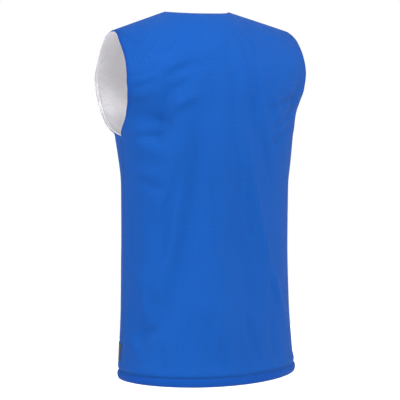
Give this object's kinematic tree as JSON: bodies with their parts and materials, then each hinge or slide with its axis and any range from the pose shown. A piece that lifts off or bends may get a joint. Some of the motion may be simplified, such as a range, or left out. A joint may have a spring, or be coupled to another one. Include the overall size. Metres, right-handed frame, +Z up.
{
  "type": "basketball jersey",
  "caption": "Sleeveless reversible basketball jersey in two layers of mesh cloth, filled out and hollow, with a round neck, deep armholes and a stitched hem.",
  "frame": {"origin": "on top of the shoulders, midway across the jersey and level with the two neck points, where the wearer's shoulders carry it", "axes": "+Z up along the body, the front faces -Y and +X is the wearer's left"},
  "size_m": [0.402, 0.2721, 0.749],
  "materials": {
    "outer_mesh_cloth": "fine eyelet mesh, blue, slight sheen",
    "inner_mesh_cloth": "fine eyelet mesh, pale grey, slight sheen",
    "label_cloth": "plain woven, dark grey, matt"
  },
  "bodies": {
    "root": {"back_outer": "outer_mesh_cloth", "front_outer": "outer_mesh_cloth", "back_inner": "inner_mesh_cloth", "front_inner": "inner_mesh_cloth", "hem_label": "label_cloth"}
  },
  "joints": []
}
